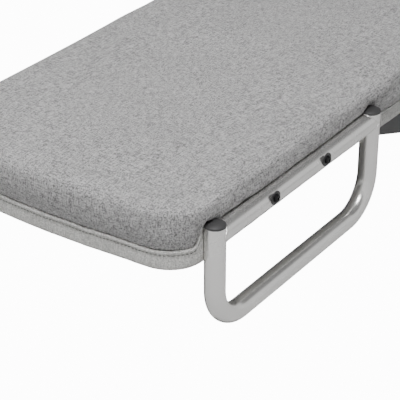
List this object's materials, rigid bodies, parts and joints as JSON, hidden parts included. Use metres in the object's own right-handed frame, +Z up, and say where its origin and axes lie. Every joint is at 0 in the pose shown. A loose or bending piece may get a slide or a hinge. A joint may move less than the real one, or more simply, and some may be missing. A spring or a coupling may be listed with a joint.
{
  "type": "folding rollaway bed",
  "caption": "Upholstered guest bed in two halves on tubular loop legs that fold up about a castered undercarriage in the middle.",
  "frame": {"origin": "middle of the bed, on the floor", "axes": "+X toward the head end, +Z up, Y across the bed"},
  "size_m": [1.92, 0.606, 0.2495],
  "materials": {
    "mattress_fabric": "matte heathered weave",
    "cover_fabric": "matte heathered weave",
    "leg_paint": "satin silver-grey powder coat",
    "frame_paint": "satin powder coat",
    "plate_paint": "satin black powder coat",
    "black_steel": "black oxide",
    "zinc_steel": "zinc plated",
    "cap_plastic": "moulded dark grey",
    "holder_plastic": "moulded black",
    "slat_wood": "pressed birch plywood",
    "wheel_plastic": "moulded grey",
    "tyre_rubber": "soft tread",
    "pedal_plastic": "moulded dark grey"
  },
  "bodies": {
    "undercarriage": {"left_side_plate": "plate_paint", "right_side_plate": "plate_paint", "inner_hinge_plates": "plate_paint", "hinge_pins": "zinc_steel", "hinge_pin_clips": "zinc_steel", "plate_spacers": "zinc_steel", "plate_rivets": "zinc_steel", "centre_cross_bars": "frame_paint", "centre_slats": "slat_wood", "centre_mattress": "mattress_fabric", "centre_side_bands": "cover_fabric", "caster_beams": "plate_paint", "beam_end_plugs": "zinc_steel", "caster_sockets": "zinc_steel", "plate_bolts": "black_steel"},
    "foot_half": {"foot_frame_rail": "frame_paint", "foot_cross_bars": "frame_paint", "foot_slats": "slat_wood", "foot_slat_holders": "holder_plastic", "foot_hinge_tangs": "zinc_steel", "foot_mattress": "mattress_fabric", "foot_base_cover": "cover_fabric", "foot_left_leg": "leg_paint", "foot_right_leg": "leg_paint", "foot_leg_caps": "cap_plastic", "foot_leg_bolts": "black_steel", "foot_leg_washers": "black_steel", "foot_rail_nuts": "zinc_steel"},
    "head_half": {"head_frame_rail": "frame_paint", "head_cross_bars": "frame_paint", "head_slats": "slat_wood", "head_slat_holders": "holder_plastic", "head_hinge_tangs": "zinc_steel", "head_mattress": "mattress_fabric", "head_base_cover": "cover_fabric", "head_left_leg": "leg_paint", "head_right_leg": "leg_paint", "head_leg_caps": "cap_plastic", "head_leg_bolts": "black_steel", "head_leg_washers": "black_steel", "head_rail_nuts": "zinc_steel"},
    "foot_left_caster": {"foot_left_caster_fork": "zinc_steel", "foot_left_caster_axle": "zinc_steel"},
    "foot_left_wheel": {"foot_left_wheel": "wheel_plastic", "foot_left_tyre": "tyre_rubber"},
    "foot_right_caster": {"foot_right_caster_fork": "zinc_steel", "foot_right_caster_axle": "zinc_steel"},
    "foot_right_wheel": {"foot_right_wheel": "wheel_plastic", "foot_right_tyre": "tyre_rubber"},
    "head_left_caster": {"head_left_caster_fork": "zinc_steel", "head_left_caster_axle": "zinc_steel"},
    "head_left_wheel": {"head_left_wheel": "wheel_plastic", "head_left_tyre": "tyre_rubber"},
    "head_right_caster": {"head_right_caster_fork": "zinc_steel", "head_right_caster_axle": "zinc_steel"},
    "head_right_wheel": {"head_right_wheel": "wheel_plastic", "head_right_tyre": "tyre_rubber"},
    "foot_left_brake": {"foot_left_brake_pedal": "pedal_plastic"},
    "head_left_brake": {"head_left_brake_pedal": "pedal_plastic"}
  },
  "joints": [
    {"name": "foot_fold", "type": "hinge", "parent": "undercarriage", "child": "foot_half", "pos_m": [-0.1, 0, 0.1935], "axis": [0, 1, 0], "range_deg": [0, 90]},
    {"name": "head_fold", "type": "hinge", "parent": "undercarriage", "child": "head_half", "pos_m": [0.1, 0, 0.1935], "axis": [0, -1, 0], "range_deg": [0, 90]},
    {"name": "foot_left_swivel", "type": "hinge", "parent": "undercarriage", "child": "foot_left_caster", "pos_m": [-0.125, -0.218, 0.08], "axis": [0, 0, 1], "continuous": true},
    {"name": "foot_left_wheel_spin", "type": "hinge", "parent": "foot_left_caster", "child": "foot_left_wheel", "pos_m": [-0.105, -0.218, 0.025], "axis": [0, 1, 0], "continuous": true},
    {"name": "foot_right_swivel", "type": "hinge", "parent": "undercarriage", "child": "foot_right_caster", "pos_m": [-0.125, 0.218, 0.08], "axis": [0, 0, 1], "continuous": true},
    {"name": "foot_right_wheel_spin", "type": "hinge", "parent": "foot_right_caster", "child": "foot_right_wheel", "pos_m": [-0.105, 0.218, 0.025], "axis": [0, 1, 0], "continuous": true},
    {"name": "head_left_swivel", "type": "hinge", "parent": "undercarriage", "child": "head_left_caster", "pos_m": [0.125, -0.218, 0.08], "axis": [0, 0, 1], "continuous": true},
    {"name": "head_left_wheel_spin", "type": "hinge", "parent": "head_left_caster", "child": "head_left_wheel", "pos_m": [0.105, -0.218, 0.025], "axis": [0, 1, 0], "continuous": true},
    {"name": "head_right_swivel", "type": "hinge", "parent": "undercarriage", "child": "head_right_caster", "pos_m": [0.125, 0.218, 0.08], "axis": [0, 0, 1], "continuous": true},
    {"name": "head_right_wheel_spin", "type": "hinge", "parent": "head_right_caster", "child": "head_right_wheel", "pos_m": [0.105, 0.218, 0.025], "axis": [0, 1, 0], "continuous": true},
    {"name": "foot_left_brake", "type": "hinge", "parent": "foot_left_caster", "child": "foot_left_brake", "pos_m": [-0.089, -0.218, 0.05], "axis": [0, 1, 0], "range_deg": [0, 15]},
    {"name": "head_left_brake", "type": "hinge", "parent": "head_left_caster", "child": "head_left_brake", "pos_m": [0.089, -0.218, 0.05], "axis": [0, -1, 0], "range_deg": [0, 15]}
  ]
}
